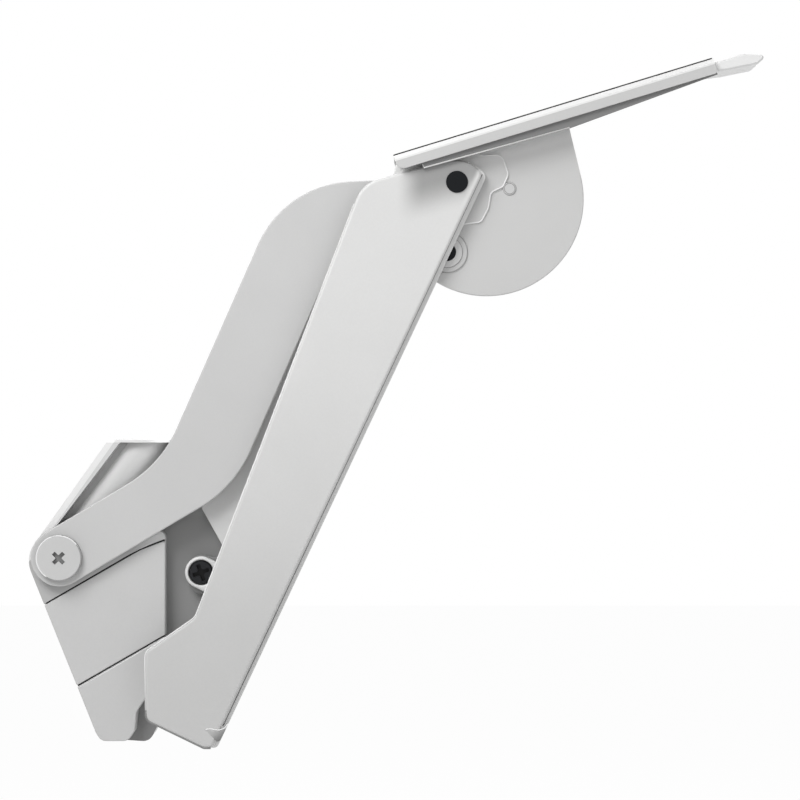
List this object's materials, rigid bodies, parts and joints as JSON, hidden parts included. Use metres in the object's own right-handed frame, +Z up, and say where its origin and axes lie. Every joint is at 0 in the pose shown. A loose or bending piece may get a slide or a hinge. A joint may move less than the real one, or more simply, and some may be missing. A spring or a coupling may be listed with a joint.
{
  "type": "lift_up_flap_fitting",
  "caption": "cabinet lift-up flap fitting with a side housing, a covered swinging main arm, a bent guide link and a flap bracket with a pale end tongue",
  "frame": {"origin": "where the main arm's pivot axis meets the mounting plane against the cabinet side", "axes": "+Z up, +X out of the cabinet, +Y into the cabinet side that the fitting is screwed to; the fitting stands on the -Y side"},
  "size_m": [0.2744, 0.0386, 0.2576],
  "materials": {
    "housing_plastic": "light grey moulded plastic, satin",
    "shell_plastic": "mid-grey moulded plastic, satin",
    "cover_plastic": "light grey smooth plastic, satin",
    "tongue_plastic": "very pale translucent-looking plastic",
    "coated_steel": "light grey powder coat",
    "zinc_steel": "bright zinc-plated steel",
    "spring_steel": "oiled spring steel",
    "black_steel": "black oxide"
  },
  "bodies": {
    "housing": {"base_plate": "zinc_steel", "housing_shell": "shell_plastic", "housing_cover": "housing_plastic", "lower_foot": "housing_plastic", "spring_tube": "coated_steel", "spring_seat": "zinc_steel", "lift_spring": "spring_steel", "link_pivot_post": "zinc_steel", "link_pivot_bolt": "coated_steel", "main_pivot_post": "zinc_steel", "main_pivot_screw": "black_steel", "main_pivot_spacer": "zinc_steel"},
    "piston": {"spring_piston": "zinc_steel", "cam_nose": "zinc_steel"},
    "link": {"guide_link": "coated_steel", "link_hub": "zinc_steel", "link_cam": "zinc_steel"},
    "arm": {"lift_lever": "coated_steel", "pivot_collar": "coated_steel", "upper_pivot_pin": "black_steel", "upper_pin_spacer": "zinc_steel", "upper_pin_washer": "zinc_steel", "arm_tray": "coated_steel", "arm_cover": "cover_plastic"},
    "bracket": {"ear_plate": "coated_steel", "latch_plate": "coated_steel", "ear_rivet": "zinc_steel", "guide_pin": "black_steel", "guide_washer_wide": "coated_steel", "guide_washer_small": "zinc_steel", "bracket_channel": "coated_steel", "bracket_cover": "cover_plastic", "bracket_tongue": "tongue_plastic", "side_adjuster": "zinc_steel", "height_adjuster": "zinc_steel"}
  },
  "joints": [
    {"name": "arm_pivot", "type": "hinge", "parent": "housing", "child": "arm", "pos_m": [0, 0, 0], "axis": [0, 1, 0], "range_deg": [0, 112]},
    {"name": "link_pivot", "type": "hinge", "parent": "housing", "child": "link", "pos_m": [-0.0526, -0.0255, 0.0059], "axis": [0, 1, 0], "range_deg": [0, 85.6]},
    {"name": "bracket_pivot", "type": "hinge", "parent": "arm", "child": "bracket", "pos_m": [0.0961, -0.0286, 0.1458], "axis": [0, 1, 0], "range_deg": [-5.2, 0]},
    {"name": "piston_slide", "type": "slide", "parent": "housing", "child": "piston", "axis": [0.5962, 0, 0.8028], "range_m": [0, 0.00365], "deforming": ["lift_spring"]}
  ],
  "couplings": [
    {"joint": "link_pivot", "follows": "arm_pivot", "ratio": 0.76302},
    {"joint": "bracket_pivot", "follows": "arm_pivot", "ratio": -0.045536},
    {"joint": "piston_slide", "follows": "arm_pivot", "m_per_rad": 0.0018417}
  ]
}
